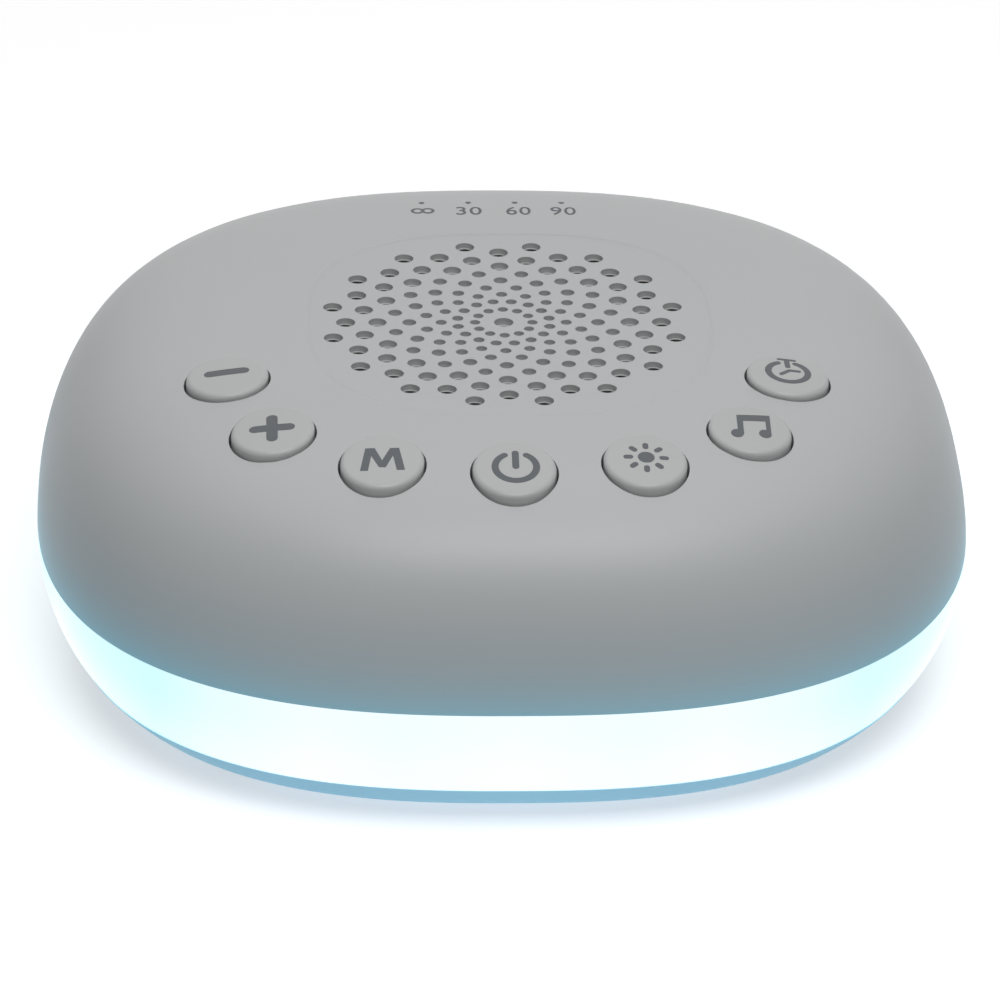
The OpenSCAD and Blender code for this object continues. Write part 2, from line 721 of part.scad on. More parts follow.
module battery_leads() {
    color([0.6, 0.1, 0.1]) leads([-speaker_plug[0], speaker_plug[1], plug_z],
        [-battery_l / 2 + 6, -battery_w / 2 + 7, floor_z + pad_t + battery_t], 17);
}

module lamp_leads() {
    color([0.85, 0.85, 0.85]) leads([lamp_plug[0], lamp_plug[1], plug_z],
        [lamp_plug[0], half_d - 14, lamp_board_z + lamp_board_t], 15.5);
}

module speaker_top_plate() {
    color([0.5, 0.5, 0.52]) translate([0, 0, plate_z - plate_t])
        tube(magnet_d - 3, coil_d + 2 * (winding_t + gap_r), plate_t);
}

module speaker_magnet() {
    color([0.2, 0.2, 0.21]) translate([0, 0, plate_z - plate_t - magnet_t])
        tube(magnet_d, coil_d + 5, magnet_t);
}

module speaker_yoke() {
    color([0.5, 0.5, 0.52]) {
        translate([0, 0, plate_z - plate_t - magnet_t - yoke_t]) cylinder(d = magnet_d - 3, h = yoke_t);
        translate([0, 0, plate_z - plate_t - magnet_t - cut])
            cylinder(r = coil_r - 0.2 - gap_r, h = plate_t + magnet_t + cut);
    }
}

module voice_coil() {
    color([0.75, 0.45, 0.2]) translate([0, 0, plate_z - plate_t - 1.6]) {
        tube(coil_d, coil_d - 0.4, plate_t + 1.6 + 4.6);
        tube(coil_d + 2 * winding_t, coil_d - 0.2, plate_t + 2.6);
    }
}

neck_z = plate_z + 4.2;
cone_t = 0.5;
module speaker_cone() {
    color([0.12, 0.12, 0.12]) rotate_extrude() polygon([
        [coil_r, neck_z - cone_t], [coil_r + 0.6, neck_z - cone_t], [cone_r, rim_z - 0.4 - cone_t],
        [cone_r, rim_z - 0.4], [coil_r + 0.4, neck_z + 0.2], [coil_r, neck_z + 0.2]]);
}

module speaker_dust_cap() {
    cap_r = 8.6;
    cap_z = neck_z + 0.2 + (cap_r - coil_r - 0.4) * (rim_z - 0.4 - neck_z - 0.2) / (cone_r - coil_r - 0.4);
    bulge_r = 13;
    sink = sqrt(pow(bulge_r, 2) - pow(cap_r, 2));
    color([0.1, 0.1, 0.1]) translate([0, 0, cap_z + 0.03]) intersection() {
        difference() {
            translate([0, 0, -sink]) sphere(bulge_r);
            translate([0, 0, -sink]) sphere(bulge_r - 0.5);
        }
        cylinder(r = cap_r, h = bulge_r);
    }
}

module speaker_surround() {
    roll_t = 0.5;
    roll_r = (surround_r - 1.6 - cone_r) / 2;
    middle = (surround_r - 1.6 + cone_r) / 2;
    color([0.08, 0.08, 0.08]) translate([0, 0, rim_z]) rotate_extrude() {
        difference() {
            translate([middle, 0]) circle(roll_r + roll_t / 2);
            translate([middle, 0]) circle(roll_r - roll_t / 2);
            translate([0, -5]) square([surround_r, 5]);
        }
        translate([middle + roll_r - roll_t / 2, 0])
            square([surround_r - middle - roll_r + roll_t / 2, roll_t]);
        translate([cone_r - 1.5, -0.4]) square([1.5 + roll_t / 2, 0.4]);
        translate([middle - roll_r - roll_t / 2, -0.4]) square([roll_t, 0.4 + cut / 5]);
    }
}

// Corrugated disc that centres the coil, glued to the basket's shelf
module speaker_spider() {
    t = 0.3;
    waves = 4;
    start_r = coil_r + gap_r;
    pitch = (basket_foot_r - 1.6 - start_r) / waves;
    color([0.6, 0.5, 0.3]) translate([0, 0, spider_z + t / 2]) rotate_extrude() {
        for (i = [0:waves - 1]) translate([start_r + pitch * (i + 0.5), 0]) difference() {
            circle(pitch / 2 + t / 2);
            circle(pitch / 2 - t / 2);
            translate([-pitch, i % 2 == 0 ? 0 : -pitch]) square([2 * pitch, pitch]);
        }
        translate([basket_foot_r - 1.6 - t / 2, -t / 2]) square([1.1, t]);
    }
}

module speaker_screws() {
    color([0.6, 0.6, 0.62]) for (q = [45:90:315]) rotate(q) translate([ear_r, 0, rim_z - rim_t])
        screw(small_screw_d, 4.6, 4.2, 1.4);
}

// ---- Lamps behind the band ----
lamp_board_t = 1.2;
lamp_share = base_lip_out - 0.012;
reflector_share = lamp_share - 0.03;
reflector_t = 1;

module lamp_board() {
    color([0.93, 0.94, 0.94]) translate([0, 0, lamp_board_z]) linear_extrude(lamp_board_t) difference() {
        flat_ring(base_lip_out + 0.009, 0.71);
        for (sx = [-1, 1], sy = [-1, 1]) translate([sx * post_x, sy * post_y]) circle(d = base_post_d + 0.6);
    }
}

module band_lamps() {
    color([0.98, 0.97, 0.85]) for (i = [0:lamp_count - 1])
        let (a = i * 360 / lamp_count, r = lamp_share * rounded_r(a, half_w, half_d, squareness))
        rotate(a) translate([r - 1, -1.7, lamp_board_z + lamp_board_t]) cube([2, 3.4, 1.2]);
}

module lamp_reflector() {
    foot_z = lamp_board_z + lamp_board_t;
    t_share = reflector_t / half_w;
    color([0.97, 0.97, 0.96]) loft([
        [reflector_share, foot_z], [reflector_share, seam_z - 3.2], [lip_in - 0.012, seam_z - 0.8],
        [lip_in - 0.012, seam_z], [lip_in - 0.012 - t_share, seam_z],
        [lip_in - 0.012 - t_share, seam_z - 0.4],
        [reflector_share - t_share, seam_z - 2.6], [reflector_share - t_share, foot_z]], ring = true);
}

// ---- Battery ----
pad_t = 1;

module battery() {
    end_r = 3;
    fold = 2;
    color([0.35, 0.5, 0.65]) translate([0, 0, floor_z + pad_t]) {
        linear_extrude(battery_t) {
            square([battery_l - 2 * end_r, battery_w], center = true);
            square([battery_l, battery_w - 2 * end_r], center = true);
            for (sx = [-1, 1], sy = [-1, 1])
                translate([sx * (battery_l / 2 - end_r), sy * (battery_w / 2 - end_r)]) circle(end_r);
        }
        // folded end of the pouch
        translate([-battery_l / 2 + fold, battery_w / 2 - 12, battery_t])
            cube([battery_l - 2 * fold, 10, 0.4]);
    }
}

module battery_pad() {
    color([0.15, 0.15, 0.15]) translate([-battery_l / 2 + 4, -battery_w / 2 + 4, floor_z])
        cube([battery_l - 8, battery_w - 8, pad_t]);
}

top_shell();
light_band();
base();
volume_down_key();
volume_up_key();
mode_key();
power_key();
light_key();
sound_key();
timer_key();
volume_down_plunger();
volume_up_plunger();
mode_plunger();
power_plunger();
light_plunger();
sound_plunger();
timer_plunger();
key_switches();
control_board();
board_screws();
board_parts();
timer_lamps();
light_guide();
usb_socket();
usb_tongue();
grille_cloth();
speaker_gasket();
speaker_frame();
speaker_top_plate();
speaker_magnet();
speaker_yoke();
speaker_cone();
speaker_dust_cap();
voice_coil();
speaker_surround();
speaker_spider();
speaker_screws();
lamp_board();
band_lamps();
lamp_reflector();
battery();
battery_pad();
speaker_leads();
battery_leads();
lamp_leads();
rubber_feet();
base_screws();
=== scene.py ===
import json
import math
import bpy
import bmesh
from mathutils import Matrix, Quaternion, Vector
from mathutils.bvhtree import BVHTree


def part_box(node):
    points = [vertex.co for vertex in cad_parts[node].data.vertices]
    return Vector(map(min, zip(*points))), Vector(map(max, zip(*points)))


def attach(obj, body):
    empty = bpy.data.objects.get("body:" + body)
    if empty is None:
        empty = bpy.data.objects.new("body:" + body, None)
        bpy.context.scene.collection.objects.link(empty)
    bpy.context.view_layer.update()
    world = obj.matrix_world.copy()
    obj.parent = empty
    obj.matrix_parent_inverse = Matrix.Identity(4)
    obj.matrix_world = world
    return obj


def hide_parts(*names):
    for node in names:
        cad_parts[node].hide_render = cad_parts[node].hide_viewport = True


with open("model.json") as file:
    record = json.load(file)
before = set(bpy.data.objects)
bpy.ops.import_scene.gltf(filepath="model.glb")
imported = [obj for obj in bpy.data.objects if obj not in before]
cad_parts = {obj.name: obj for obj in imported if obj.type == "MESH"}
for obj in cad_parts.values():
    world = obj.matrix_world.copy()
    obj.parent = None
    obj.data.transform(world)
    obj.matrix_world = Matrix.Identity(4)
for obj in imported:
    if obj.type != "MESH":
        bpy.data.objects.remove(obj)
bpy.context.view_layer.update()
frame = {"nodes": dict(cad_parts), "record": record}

mm = 0.001
crease = math.radians(30)  # a sharper edge than this stays sharp
weldGap = 0.002 * mm  # corners nearer than this become one
planeGap = 0.00001 * mm  # a corner nearer than this is on the cutting plane
rayTop = 0.1  # metres, above every piece
scene = bpy.context.scene
nodes = frame["nodes"]
slotOf = {part["node"]: part["material_slot"] for part in frame["record"]["subparts"]}
print("frame loaded,", len(nodes), "nodes")


# shader nodes, written as sums and calls

class Signal:  # one socket of a finish, so that shader sums read as sums
    def __init__(self, finish, socket):
        self.finish = finish
        self.socket = socket

    def to(self, operation, *others):
        return self.finish.sum(operation, self, *others)

    def swing(self, reach):  # a pattern from 0 to 1, turned into as much above nothing as below it
        return (self - 0.5) * reach

    def __add__(self, other):
        return self.to("ADD", other)

    def __radd__(self, other):
        return self.to("ADD", other)

    def __sub__(self, other):
        return self.to("SUBTRACT", other)

    def __rsub__(self, other):
        return self.finish.sum("SUBTRACT", other, self)

    def __mul__(self, other):
        return self.to("MULTIPLY", other)

    def __truediv__(self, other):
        return self.to("DIVIDE", other)

    def __pow__(self, other):
        return self.to("POWER", other)

    def __abs__(self):
        return self.to("ABSOLUTE")


def full(colour):  # a plain colour gets its fourth channel
    return colour if isinstance(colour, Signal) else (*colour, 1)


class Finish:
    def __init__(self, owner):  # a material or a world
        owner.use_nodes = True
        self.owner = owner
        self.tree = owner.node_tree
        self.tree.nodes.clear()

    def node(self, kind, settings=None, inputs=None, output=0):
        made = self.tree.nodes.new(kind)
        for name, value in (settings or {}).items():
            if name == "stops":
                self.setStops(made.color_ramp, value)
            else:
                setattr(made, name, value)
        for name, value in (inputs or {}).items():
            if isinstance(value, Signal):
                self.tree.links.new(value.socket, made.inputs[name])
            else:
                made.inputs[name].default_value = value
        return Signal(self, made.outputs[output]) if len(made.outputs) else made

    def setStops(self, ramp, stops):
        while len(ramp.elements) < len(stops):
            ramp.elements.new(0.5)
        for element, (position, colour) in zip(ramp.elements, stops):
            element.position = position
            element.color = full(colour)

    def sum(self, operation, *values):
        return self.node("ShaderNodeMath", {"operation": operation}, dict(enumerate(values)))

    def ease(self, value, low, high):  # 0 at low, 1 at high, smooth between
        return self.node("ShaderNodeMapRange", {"interpolation_type": "SMOOTHSTEP"},
                         {"Value": value, "From Min": low, "From Max": high})

    def place(self):
        return self.node("ShaderNodeTexCoord", output="Object")

    def axis(self, name):
        return self.node("ShaderNodeSeparateXYZ", None, {"Vector": self.place()}, name)

    def noise(self, scale, detail=2.0, stretch=(1, 1, 1)):
        where = self.node("ShaderNodeMapping", None, {"Vector": self.place(), "Scale": stretch})
        return self.node("ShaderNodeTexNoise", None,
                         {"Vector": where, "Scale": scale, "Detail": detail})

    def mix(self, share, first, second, kind="MIX"):  # 6, 7 and 2 are the node's colour sockets
        return self.node("ShaderNodeMix", {"data_type": "RGBA", "blend_type": kind},
                         {0: share, 6: full(first), 7: full(second)}, 2)

    def bump(self, height, strength, depth):
        return self.node("ShaderNodeBump", None,
                         {"Height": height, "Strength": strength, "Distance": depth * mm})

    def surface(self, **inputs):
        named = {name.replace("_", " "): value for name, value in inputs.items()}
        for name in ("Base Color", "Emission Color"):
            if name in named:
                named[name] = full(named[name])
        shader = self.node("ShaderNodeBsdfPrincipled", None, named)
        self.node("ShaderNodeOutputMaterial", None, {"Surface": shader})
        return self.owner


def newFinish(name):
    return Finish(bpy.data.materials.new(name))


# finishes: a function for each kind of material, below what all of its kind share

plasticLook = {"driftScale": 26, "driftShare": 0.7, "driftGloss": 0.08, "mottleScale": 420,
               "mottleShare": 0.3, "grainGloss": 0.16, "ior": 1.46}


def mouldedPlastic(name, own):
    look = {**plasticLook, **own}
    finish = newFinish(name)
    grain = finish.noise(look["grainScale"], 3)
    drift = finish.noise(look["driftScale"])
    mottle = finish.noise(look["mottleScale"])
    shade = drift * look["driftShare"] + mottle * look["mottleShare"]
    colour = finish.mix(shade, look["dark"], look["pale"])
    gloss = look["roughness"] + grain.swing(look["grainGloss"]) + drift.swing(look["driftGloss"])
    return finish.surface(Base_Color=colour, Roughness=gloss, IOR=look["ior"],
                          Normal=finish.bump(grain, look["grainStrength"], look["grainDepth"]))


def shellPlastic(name, look):
    finish = newFinish(name)
    grain = finish.noise(look["grainScale"], 3)
    drift = finish.noise(look["driftScale"])
    colour = finish.mix(drift, look["dark"], look["pale"])
    across, along, lift = (finish.axis(side) for side in "XYZ")
    # painted glow: emission just above the seam stands in for the band's blue light on the shell
    glow = ((look["seam"] * mm - lift) / (look["paintedGlowHeight"] * mm)).to("EXPONENT")
    paintedSeamGlow = finish.mix(glow, (0, 0, 0), look["glow"])
    # witness line of the mould round the grille
    power = look["ringPower"]
    middleX, middleY = look["ringCentre"]
    offX, offY = abs(across - middleX * mm) / mm, abs(along - middleY * mm) / mm
    ring = (offX ** power + offY ** power) ** (1 / power) - look["ringHalf"]
    groove = 1 - finish.ease(abs(ring), 0, look["ringWidth"])
    # in the grille's holes, painted shade at the upper end and a painted highlight on the lower
    # rim
    radius = (across * across + along * along) ** 0.5 / mm
    slope = ((radius - look["flatR"]) / (look["pocketR"] - look["flatR"])).to("MAXIMUM", 0)
    depth = lift / mm - look["ceiling"] - slope * look["pocketRise"]
    grille = 1 - finish.ease(radius, look["pocketR"], look["pocketR"] + look["pocketEdge"])
    rim = (1 - finish.ease(abs(depth - look["rimAt"]), look["rimCore"], look["rimHalf"])) * grille
    hole = (1 - finish.ease(lift, look["mouthFrom"] * mm, look["mouthTo"] * mm)) * grille
    shade = hole * finish.ease(depth, look["shadeFrom"], look["shadeTo"])
    colour = finish.mix(shade, colour, look["shade"], "MULTIPLY")
    colour = finish.mix(rim, colour, look["rim"])
    gloss = look["roughness"] + grain.swing(look["grainGloss"]) + drift.swing(look["driftGloss"])
    height = grain * look["grainStrength"] - groove * look["ringDepth"]
    return finish.surface(Base_Color=colour, Roughness=gloss, IOR=look["ior"],
                          Emission_Color=paintedSeamGlow, Emission_Strength=1.0,
                          Normal=finish.bump(height, 1.0, look["grainDepth"]))


litLook = {"halfWidth": 60, "upperShare": 0.9, "cloudScale": 60, "cloudShare": 0.1,
           "cloudGloss": 0.08, "grainScale": 2600, "grainStrength": 0.08, "grainDepth": 0.03}


def litPlastic(name, own):  # lamps behind the band, brightest at its foot, with painted shade toward its sides; the base's glow is painted light
    look = {**litLook, **own}
    finish = newFinish(name)
    cloud = finish.noise(look["cloudScale"])
    grain = finish.noise(look["grainScale"])
    # painted shade: the glow is set by place across the width, dimmer toward the sides
    side = abs(finish.axis("X")) / (look["halfWidth"] * mm)
    glow = finish.node("ShaderNodeValToRGB", {"stops": look["glow"]}, {"Fac": side})
    upper = finish.ease(finish.axis("Z"), look["foot"] * mm, look["head"] * mm)
    fade = upper * look["upperShare"] + cloud * look["cloudShare"]
    return finish.surface(Base_Color=finish.mix(cloud, look["dark"], look["pale"]),
                          Roughness=look["roughness"] + cloud.swing(look["cloudGloss"]),
                          Emission_Color=finish.mix(fade, glow, look["upper"], "MULTIPLY"),
                          Emission_Strength=1.0,
                          Normal=finish.bump(grain, look["grainStrength"], look["grainDepth"]))


metalLook = {"brushGloss": 0.2, "brushStrength": 0.15, "brushDepth": 0.02, "cloudScale": 180,
             "cloudGloss": 0.1}


def drawnMetal(name, own):
    look = {**metalLook, **own}
    finish = newFinish(name)
    brush = finish.noise(look["brushScale"], stretch=look["brush"])
    cloud = finish.noise(look["cloudScale"])
    gloss = look["roughness"] + brush.swing(look["brushGloss"]) + cloud.swing(look["cloudGloss"])
    return finish.surface(Base_Color=finish.mix(cloud, look["dark"], look["pale"]),
                          Metallic=look["metallic"], Roughness=gloss,
                          Normal=finish.bump(brush, look["brushStrength"], look["brushDepth"]))


clothLook = {"weaveShare": 0.6, "fuzzScale": 900, "fuzzShare": 0.4, "fuzzGloss": 0.15,
             "fuzzHeight": 0.3, "roughness": 0.86, "strength": 0.4, "depth": 0.08}


def wovenCloth(name, own):
    look = {**clothLook, **own}
    finish = newFinish(name)
    pitch = 2 * math.pi / (look["pitch"] * mm)
    across = (finish.axis("X") * pitch).to("SINE")
    along = (finish.axis("Y") * pitch).to("SINE")
    weave = across * along * 0.5 + 0.5
    fuzz = finish.noise(look["fuzzScale"], 3)
    shade = weave * look["weaveShare"] + fuzz * look["fuzzShare"]
    colour = finish.mix(shade, look["dark"], look["pale"])
    # painted shade: the cloth's outer ring is made nearly black, for the dark hollow seen through
    # the outer holes
    if "rim" in look:
        level = finish.node("ShaderNodeMapping", None,
                            {"Vector": finish.place(), "Scale": (1, 1, 0)})
        radius = finish.node("ShaderNodeVectorMath", {"operation": "LENGTH"}, {0: level}, 1)
        outer = finish.ease(radius, look["inside"] * mm, look["outside"] * mm)
        colour = finish.mix(outer, colour, look["rim"])
    height = weave + fuzz * look["fuzzHeight"]
    return finish.surface(Base_Color=colour,
                          Roughness=look["roughness"] + fuzz.swing(look["fuzzGloss"]),
                          Normal=finish.bump(height, look["strength"], look["depth"]))


boardLook = {"trackFrom": (0.34, 0.4), "trackTo": (0.46, 0.52), "weaveScale": 1400,
             "weaveGloss": 0.14, "weaveHeight": 0.2, "roughness": 0.3, "strength": 0.25,
             "depth": 0.03}


def boardResist(name, own):
    look = {**boardLook, **own}
    finish = newFinish(name)
    weave = finish.noise(look["weaveScale"])
    lane = finish.node("ShaderNodeTexVoronoi", {"distance": "CHEBYCHEV", "feature": "F1"},
                       {"Vector": finish.place(), "Scale": look["laneScale"]})
    track = finish.ease(lane, *look["trackFrom"]) * (1 - finish.ease(lane, *look["trackTo"]))
    height = track + weave * look["weaveHeight"]
    return finish.surface(Base_Color=finish.mix(track, look["resist"], look["track"]),
                          Roughness=look["roughness"] + weave.swing(look["weaveGloss"]),
                          Normal=finish.bump(height, look["strength"], look["depth"]))


fibreLook = {"fibreShare": 0.6, "fibreGloss": 0.2, "cloudScale": 90, "cloudShare": 0.4}


def fibrous(name, own):
    look = {**fibreLook, **own}
    finish = newFinish(name)
    fibre = finish.noise(look["fibreScale"], 5)
    cloud = finish.noise(look["cloudScale"])
    shade = fibre * look["fibreShare"] + cloud * look["cloudShare"]
    return finish.surface(Base_Color=finish.mix(shade, look["dark"], look["pale"]),
                          Roughness=look["roughness"] + fibre.swing(look["fibreGloss"]),
                          Normal=finish.bump(fibre, look["strength"], look["depth"]))


shellLook = {"dark": (0.446, 0.458, 0.462), "pale": (0.466, 0.478, 0.482), "driftScale": 24,
             "roughness": 0.43, "grainGloss": 0.16, "driftGloss": 0.06, "ior": 1.46,
             "grainScale": 4200, "grainStrength": 0.1, "grainDepth": 0.06,
             # painted glow just above the seam, as emission on the shell
             "seam": 18.6, "paintedGlowHeight": 4.8, "glow": (0.0, 0.150, 0.222),
             "ringCentre": (0.7, 0.0), "ringHalf": 25.75, "ringPower": 2.65, "ringWidth": 0.34,
             "ringDepth": 1.0, "ceiling": 42.85, "flatR": 13.44, "pocketR": 24.0,
             # painted highlight on the holes' lower rims, painted shade at their upper ends
             "pocketEdge": 0.2, "pocketRise": 0.26, "rimAt": 0.09, "rimCore": 0.072,
             "rimHalf": 0.12, "rim": (0.85, 0.86, 0.84), "mouthFrom": 43.90, "mouthTo": 43.94,
             "shadeFrom": 0.2, "shadeTo": 0.9, "shade": (0.78, 0.78, 0.77)}
bandLook = {"roughness": 0.3, "dark": (0.56, 0.66, 0.68), "pale": (0.6, 0.7, 0.72),
            "foot": 9.0, "head": 18.6, "upper": (0.84, 0.99, 1.0),
            # painted shade: the glow fades toward the band's sides
            "glow": [(0.0, (0.83, 0.80, 0.82)), (0.25, (0.78, 0.79, 0.81)),
                     (0.42, (0.82, 0.80, 0.82)), (0.62, (0.71, 0.79, 0.81)),
                     (0.74, (0.54, 0.77, 0.80)), (0.86, (0.58, 0.79, 0.82)),
                     (0.95, (0.64, 0.82, 0.84)), (1.0, (0.30, 0.56, 0.62))]}
# the base is no lamp: its glow is painted light, for the band's blue light on it
baseLook = {"roughness": 0.5, "dark": (0.36, 0.48, 0.54), "pale": (0.39, 0.51, 0.57),
            "foot": 3.0, "head": 5.6, "upper": (1.0, 1.0, 1.0),
            "glow": [(0.0, (0.130, 0.33, 0.46)), (0.5, (0.112, 0.29, 0.41)),
                     (0.8, (0.085, 0.24, 0.33)), (1.0, (0.07, 0.20, 0.28))]}

finishes = {
    "shell_plastic": shellPlastic("shell plastic", shellLook),
    "band_plastic": litPlastic("glowing band", bandLook),
    # painted glow on the base
    "base_plastic": litPlastic("base plastic", baseLook),
    "key_plastic": mouldedPlastic("key plastic", {
        "dark": (0.430, 0.440, 0.438), "pale": (0.456, 0.466, 0.462), "roughness": 0.36,
        "grainScale": 5200, "grainStrength": 0.05, "grainDepth": 0.04}),
    "black_plastic": mouldedPlastic("black plastic", {
        "dark": (0.012, 0.012, 0.013), "pale": (0.024, 0.024, 0.026), "roughness": 0.45,
        "grainScale": 3600, "grainStrength": 0.1, "grainDepth": 0.05}),
    "white_plastic": mouldedPlastic("white reflector plastic", {
        "dark": (0.80, 0.80, 0.77), "pale": (0.86, 0.86, 0.83), "roughness": 0.5,
        "grainScale": 3600, "grainStrength": 0.08, "grainDepth": 0.05}),
    "battery_film": mouldedPlastic("battery film", {
        "dark": (0.12, 0.24, 0.42), "pale": (0.19, 0.33, 0.52), "roughness": 0.25,
        "grainScale": 700, "grainStrength": 0.3, "grainDepth": 0.12}),
    "lamp": mouldedPlastic("lamp phosphor", {
        "dark": (0.80, 0.72, 0.34), "pale": (0.92, 0.86, 0.56), "roughness": 0.35,
        "grainScale": 5000, "grainStrength": 0.2, "grainDepth": 0.03}),
    "clear_plastic": mouldedPlastic("light guide plastic", {
        "dark": (0.030, 0.033, 0.035), "pale": (0.050, 0.054, 0.056), "roughness": 0.25,
        "grainScale": 3000, "grainStrength": 0.04, "grainDepth": 0.02}),
    "black_rubber": mouldedPlastic("black rubber", {
        "dark": (0.020, 0.020, 0.021), "pale": (0.036, 0.036, 0.038), "roughness": 0.78,
        "grainScale": 2400, "grainStrength": 0.2, "grainDepth": 0.06}),
    "ferrite": mouldedPlastic("ferrite", {
        "dark": (0.035, 0.035, 0.038), "pale": (0.075, 0.075, 0.080), "roughness": 0.55,
        "grainScale": 2800, "grainStrength": 0.35, "grainDepth": 0.05, "ior": 1.8}),
    "screw_steel": drawnMetal("screw steel", {
        "dark": (0.42, 0.42, 0.44), "pale": (0.62, 0.62, 0.64), "metallic": 1.0,
        "roughness": 0.34, "brushScale": 2600, "brush": (1, 1, 0.2)}),
    "socket_steel": drawnMetal("socket steel", {
        "dark": (0.56, 0.56, 0.58), "pale": (0.74, 0.74, 0.76), "metallic": 1.0,
        "roughness": 0.28, "brushScale": 2600, "brush": (1, 0.1, 1)}),
    "magnet_steel": drawnMetal("magnet steel", {
        "dark": (0.44, 0.44, 0.46), "pale": (0.60, 0.60, 0.62), "metallic": 1.0,
        "roughness": 0.36, "brushScale": 1600, "brush": (1, 1, 0.2)}),
    "basket_steel": drawnMetal("basket steel", {
        "dark": (0.030, 0.030, 0.033), "pale": (0.055, 0.055, 0.060), "metallic": 0.3,
        "roughness": 0.42, "brushScale": 1500, "brush": (1, 1, 1)}),
    "copper": drawnMetal("copper winding", {
        "dark": (0.52, 0.20, 0.09), "pale": (0.76, 0.36, 0.18), "metallic": 1.0,
        "roughness": 0.3, "brushScale": 5200, "brush": (0.05, 0.05, 1)}),
    "lead_vinyl": mouldedPlastic("lead vinyl", {
        "dark": (0.36, 0.020, 0.018), "pale": (0.50, 0.040, 0.034), "roughness": 0.4,
        "grainScale": 1800, "grainStrength": 0.12, "grainDepth": 0.04}),
    "black_cloth": wovenCloth("grille cloth", {
        "pitch": 0.32, "dark": (0.10, 0.108, 0.115), "pale": (0.20, 0.212, 0.222),
        # painted shade on the cloth's outer ring
        "rim": (0.006, 0.006, 0.007), "inside": 17.2, "outside": 19.0}),
    "spider_cloth": wovenCloth("spider cloth", {
        "pitch": 0.4, "dark": (0.24, 0.14, 0.04), "pale": (0.46, 0.31, 0.10)}),
    "circuit_board": boardResist("green board", {
        "laneScale": 420, "resist": (0.008, 0.10, 0.045), "track": (0.02, 0.20, 0.085)}),
    "white_board": boardResist("white board", {
        "laneScale": 300, "resist": (0.76, 0.78, 0.76), "track": (0.66, 0.68, 0.66)}),
    "cone_paper": fibrous("cone paper", {
        "fibreScale": 1500, "dark": (0.018, 0.018, 0.018), "pale": (0.045, 0.045, 0.044),
        "roughness": 0.85, "strength": 0.5, "depth": 0.1}),
    "foam": fibrous("cell foam", {
        "fibreScale": 2200, "dark": (0.015, 0.015, 0.016), "pale": (0.04, 0.04, 0.042),
        "roughness": 0.9, "strength": 0.7, "depth": 0.15}),
}
inkFinish = mouldedPlastic("printed ink", {
    "dark": (0.078, 0.086, 0.096), "pale": (0.094, 0.103, 0.114), "roughness": 0.5,
    "grainScale": 5200, "grainStrength": 0.05, "grainDepth": 0.04})
print("finishes made,", len(finishes))

for name, cadNode in nodes.items():
    cadNode.data.materials.clear()
    cadNode.data.materials.append(finishes[slotOf[name]])
    cadNode.data.polygons.foreach_set("use_smooth", [True] * len(cadNode.data.polygons))
    weld = cadNode.modifiers.new("weld", "WELD")
    weld.merge_threshold = weldGap
    split = cadNode.modifiers.new("split", "EDGE_SPLIT")
    split.split_angle = crease
    split.use_edge_sharp = False


# what every new piece uses

def addPiece(name, mesh, body, material):
    piece = bpy.data.objects.new(name, mesh)
    scene.collection.objects.link(piece)
    mesh.materials.clear()
    mesh.materials.append(material)
    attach(piece, body)
    return piece


def weldedCopy(source, name):  # without the corner normals that came with it
    mesh = source.copy()
    mesh.name = name
    if mesh.has_custom_normals:
        mesh.attributes.remove(mesh.attributes["custom_normal"])
    bm = bmesh.new()
    bm.from_mesh(mesh)
    bmesh.ops.remove_doubles(bm, verts=bm.verts, dist=weldGap)
    return mesh, bm


def smoothFaces(mesh):
    mesh.polygons.foreach_set("use_smooth", [True] * len(mesh.polygons))
    mesh.set_sharp_from_angle(angle=crease)


def cutAlong(bm, point, way, clearOuter=False):  # gives the edges that lie in the cut
    cut = bmesh.ops.bisect_plane(bm, geom=bm.verts[:] + bm.edges[:] + bm.faces[:], dist=planeGap,
                                 plane_co=point, plane_no=way, clear_outer=clearOuter)
    return [part for part in cut["geom_cut"] if isinstance(part, bmesh.types.BMEdge)]


def faceTree(mesh):
    return BVHTree.FromPolygons([v.co for v in mesh.vertices], [p.vertices for p in mesh.polygons])


def heightOf(tree, point):  # of the face above or below the point
    return tree.ray_cast(Vector((point.x, point.y, rayTop)), Vector((0, 0, -1)))[0].z


# outer skins, with finer columns than the solid has

def shareOf(point, high, look):  # 1 on the outline at the seam, less inside it
    return ((abs(point.x) / high.x) ** look["squareness"]
            + (abs(point.y) / high.y) ** look["squareness"]) ** (1 / look["squareness"])


def domeSlope(point, high, look):  # how far a point is from the dome, and the way out of it there
    tiny = 1e-6
    halfW, halfD, rise = high.x, high.y, high.z - look["seam"]
    squareness, flat, roundness = look["squareness"], look["flat"], look["roundness"]
    share = shareOf(point, high, look)
    left = max(1 - (high.z - point.z) / rise, tiny)
    steep = flat * max(share, tiny) ** (flat - squareness)
    acrossX, acrossY = abs(point.x / halfW), abs(point.y / halfD)
    way = Vector((math.copysign(steep * acrossX ** (squareness - 1) / halfW, point.x),
                  math.copysign(steep * acrossY ** (squareness - 1) / halfD, point.y),
                  roundness * left ** (roundness - 1) / rise))
    off = share ** flat + left ** roundness - 1
    return off / way.length, way.normalized()


def ontoDome(point, high, look):
    for _ in range(look["tries"]):
        off, way = domeSlope(point, high, look)
        point = point - way * off
    return point


def ontoBelly(point, high, look):  # the round skin under the seam
    sunk = look["seam"] - point.z
    inset = look["bellyR"] - math.sqrt(look["bellyR"] ** 2 - sunk ** 2) - look["step"]
    grow = (1 - inset / high.x) / shareOf(point, high, look)
    return Vector((point.x * grow, point.y * grow, point.z))


